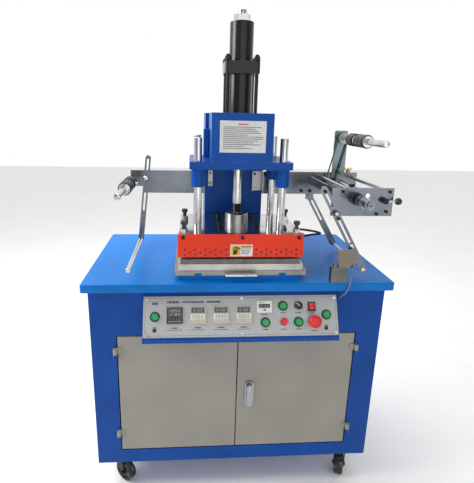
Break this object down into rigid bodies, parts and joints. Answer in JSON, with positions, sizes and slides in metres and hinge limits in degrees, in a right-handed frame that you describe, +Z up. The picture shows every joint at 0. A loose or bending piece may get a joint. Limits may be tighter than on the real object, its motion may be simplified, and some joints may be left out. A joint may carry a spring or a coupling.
{
  "type": "hot foil stamping press",
  "caption": "Floor-standing pneumatic hot foil stamping press on a wheeled cabinet with foil winding gear and a sloping control panel.",
  "frame": {"origin": "on the floor, under the middle of the outer box", "axes": "+Z up, +X to the operator's right, -Y towards the operator in front of the control panel"},
  "size_m": [0.96, 0.603, 1.576],
  "materials": {
    "blue_paint": "gloss",
    "table_paint": "satin",
    "grey_paint": "textured",
    "red_paint": "gloss",
    "beige_paint": "satin",
    "silver_panel": "brushed",
    "bright_steel": "ground",
    "dark_steel": "polished",
    "chrome": "polished",
    "black_metal": "semi-gloss",
    "black_plastic": "moulded",
    "instrument_plastic": "moulded",
    "green_plastic": "moulded",
    "red_plastic": "moulded",
    "rubber": "matt",
    "belt_rubber": "smooth",
    "tyre": "worn",
    "heat_steel": "heat stained"
  },
  "bodies": {
    "frame": {"tabletop": "table_paint", "cabinet_shell": "blue_paint", "control_panel": "silver_panel", "panel_instruments": "instrument_plastic", "button_bezels": "black_plastic", "press_frame": "blue_paint", "head_plate": "bright_steel", "cylinder_body": "black_metal", "tie_rods": "chrome", "table_bed": "table_paint", "left_arm": "dark_steel", "winder_frame": "dark_steel", "upright_arm": "dark_steel", "drive_belt": "belt_rubber", "drive_motor": "black_metal", "sensor_bracket": "bright_steel", "sensor_box": "beige_paint", "sensor_cable": "rubber", "power_unit": "grey_paint", "control_gear": "instrument_plastic", "mains_gland": "black_plastic", "frame_screws": "black_metal", "caster_mounts": "bright_steel"},
    "ram": {"ram_plate": "bright_steel", "piston_rod": "dark_steel", "guide_posts": "chrome", "heater_block": "heat_steel", "guard": "red_paint", "ram_bolts": "black_metal", "levelling_screws": "black_metal", "heater_cable": "rubber"},
    "work_table": {"slide_plate": "dark_steel", "work_plate": "bright_steel", "work_pad": "rubber"},
    "left_door": {"left_door": "grey_paint"},
    "right_door": {"right_door": "grey_paint"},
    "door_latch": {"door_latch": "black_plastic"},
    "stroke_adjuster": {"stroke_adjuster": "chrome"},
    "supply_shaft": {"supply_shaft": "dark_steel"},
    "left_swing_bar": {"left_swing_bar": "dark_steel"},
    "drive_roller": {"drive_roller": "rubber"},
    "nip_roller": {"nip_roller": "dark_steel"},
    "rewind_shaft": {"rewind_shaft": "dark_steel"},
    "right_swing_frame": {"right_swing_frame": "dark_steel"},
    "pressure_lever": {"pressure_lever": "black_plastic"},
    "emergency_stop": {"emergency_stop": "red_plastic"},
    "selector_knob": {"selector_knob": "black_plastic"},
    "rocker_switch": {"rocker_switch": "red_plastic"},
    "start_button_left": {"start_button_left": "green_plastic"},
    "start_button_right": {"start_button_right": "green_plastic"},
    "feed_button": {"feed_button": "green_plastic"},
    "heat_button": {"heat_button": "green_plastic"},
    "stop_button": {"stop_button": "red_plastic"},
    "reset_button": {"reset_button": "green_plastic"},
    "wheel_front_left": {"wheel_front_left": "tyre"},
    "fork_front_left": {"fork_front_left": "bright_steel"},
    "wheel_front_right": {"wheel_front_right": "tyre"},
    "fork_front_right": {"fork_front_right": "bright_steel"},
    "wheel_rear_left": {"wheel_rear_left": "tyre"},
    "wheel_rear_right": {"wheel_rear_right": "tyre"}
  },
  "joints": [
    {"name": "ram_slide", "type": "slide", "parent": "frame", "child": "ram", "axis": [0, 0, 1], "range_m": [0, 0.08]},
    {"name": "table_slide", "type": "slide", "parent": "frame", "child": "work_table", "axis": [0, -1, 0], "range_m": [0, 0.18]},
    {"name": "left_door_hinge", "type": "hinge", "parent": "frame", "child": "left_door", "pos_m": [-0.389, -0.2205, 0.381], "axis": [0, 0, -1], "range_deg": [0, 110]},
    {"name": "right_door_hinge", "type": "hinge", "parent": "frame", "child": "right_door", "pos_m": [0.389, -0.2205, 0.381], "axis": [0, 0, 1], "range_deg": [0, 110]},
    {"name": "latch_turn", "type": "hinge", "parent": "right_door", "child": "door_latch", "pos_m": [0.042, -0.22, 0.376], "axis": [0, 1, 0], "range_deg": [0, 90]},
    {"name": "stroke_adjuster_turn", "type": "hinge", "parent": "frame", "child": "stroke_adjuster", "pos_m": [0, -0.05, 1.551], "axis": [0, 0, 1], "range_deg": [-180, 180]},
    {"name": "supply_shaft_turn", "type": "hinge", "parent": "frame", "child": "supply_shaft", "pos_m": [-0.352, 0.03, 1.05], "axis": [0, 1, 0], "continuous": true},
    {"name": "left_swing", "type": "hinge", "parent": "frame", "child": "left_swing_bar", "pos_m": [-0.31, 0.083, 1.051], "axis": [0, 1, 0], "range_deg": [-30, 22]},
    {"name": "drive_roller_turn", "type": "hinge", "parent": "frame", "child": "drive_roller", "pos_m": [0.346, 0.03, 1.035], "axis": [0, 1, 0], "continuous": true},
    {"name": "nip_roller_turn", "type": "hinge", "parent": "frame", "child": "nip_roller", "pos_m": [0.3765, 0.03, 1.046], "axis": [0, 1, 0], "continuous": true},
    {"name": "rewind_shaft_turn", "type": "hinge", "parent": "frame", "child": "rewind_shaft", "pos_m": [0.385, 0.03, 1.201], "axis": [0, 1, 0], "continuous": true},
    {"name": "right_swing", "type": "hinge", "parent": "frame", "child": "right_swing_frame", "pos_m": [0.282, 0.03, 0.993], "axis": [0, 1, 0], "range_deg": [-30, 6]},
    {"name": "nip_lever_turn", "type": "hinge", "parent": "frame", "child": "pressure_lever", "pos_m": [0.428, -0.216, 1.032], "axis": [0, 1, 0], "range_deg": [0, 90]},
    {"name": "start_button_left_press", "type": "slide", "parent": "frame", "child": "start_button_left", "axis": [0, 0.8934, -0.4493], "range_m": [0, 0.004], "stiffness_N_per_m": 400},
    {"name": "start_button_right_press", "type": "slide", "parent": "frame", "child": "start_button_right", "axis": [0, 0.8934, -0.4493], "range_m": [0, 0.004], "stiffness_N_per_m": 400},
    {"name": "feed_button_press", "type": "slide", "parent": "frame", "child": "feed_button", "axis": [0, 0.8934, -0.4493], "range_m": [0, 0.004], "stiffness_N_per_m": 400},
    {"name": "heat_button_press", "type": "slide", "parent": "frame", "child": "heat_button", "axis": [0, 0.8934, -0.4493], "range_m": [0, 0.004], "stiffness_N_per_m": 400},
    {"name": "stop_button_press", "type": "slide", "parent": "frame", "child": "stop_button", "axis": [0, 0.8934, -0.4493], "range_m": [0, 0.004], "stiffness_N_per_m": 400},
    {"name": "reset_button_press", "type": "slide", "parent": "frame", "child": "reset_button", "axis": [0, 0.8934, -0.4493], "range_m": [0, 0.004], "stiffness_N_per_m": 400},
    {"name": "emergency_stop_press", "type": "slide", "parent": "frame", "child": "emergency_stop", "axis": [0, 0.8934, -0.4493], "range_m": [0, 0.005], "stiffness_N_per_m": 600},
    {"name": "selector_turn", "type": "hinge", "parent": "frame", "child": "selector_knob", "pos_m": [0.1796, -0.24573, 0.70874], "axis": [0, -0.8934, 0.4493], "range_deg": [0, 90]},
    {"name": "rocker_tilt", "type": "hinge", "parent": "frame", "child": "rocker_switch", "pos_m": [0.222, -0.23748, 0.70066], "axis": [1, 0, 0], "range_deg": [0, 16]},
    {"name": "swivel_front_left", "type": "hinge", "parent": "frame", "child": "fork_front_left", "pos_m": [-0.404, -0.146, 0.1], "axis": [0, 0, 1], "continuous": true},
    {"name": "roll_front_left", "type": "hinge", "parent": "fork_front_left", "child": "wheel_front_left", "pos_m": [-0.38194, -0.16324, 0.0375], "axis": [-0.6157, -0.788, 0], "continuous": true},
    {"name": "swivel_front_right", "type": "hinge", "parent": "frame", "child": "fork_front_right", "pos_m": [0.404, -0.146, 0.1], "axis": [0, 0, 1], "continuous": true},
    {"name": "roll_front_right", "type": "hinge", "parent": "fork_front_right", "child": "wheel_front_right", "pos_m": [0.39442, -0.17231, 0.0375], "axis": [-0.9397, 0.342, 0], "continuous": true},
    {"name": "roll_rear_left", "type": "hinge", "parent": "frame", "child": "wheel_rear_left", "pos_m": [-0.404, 0.192, 0.0375], "axis": [-1, 0, 0], "continuous": true},
    {"name": "roll_rear_right", "type": "hinge", "parent": "frame", "child": "wheel_rear_right", "pos_m": [0.404, 0.192, 0.0375], "axis": [-1, 0, 0], "continuous": true}
  ],
  "couplings": [
    {"joint": "nip_roller_turn", "follows": "drive_roller_turn", "ratio": -1.2857},
    {"joint": "rewind_shaft_turn", "follows": "drive_roller_turn", "ratio": 1}
  ]
}
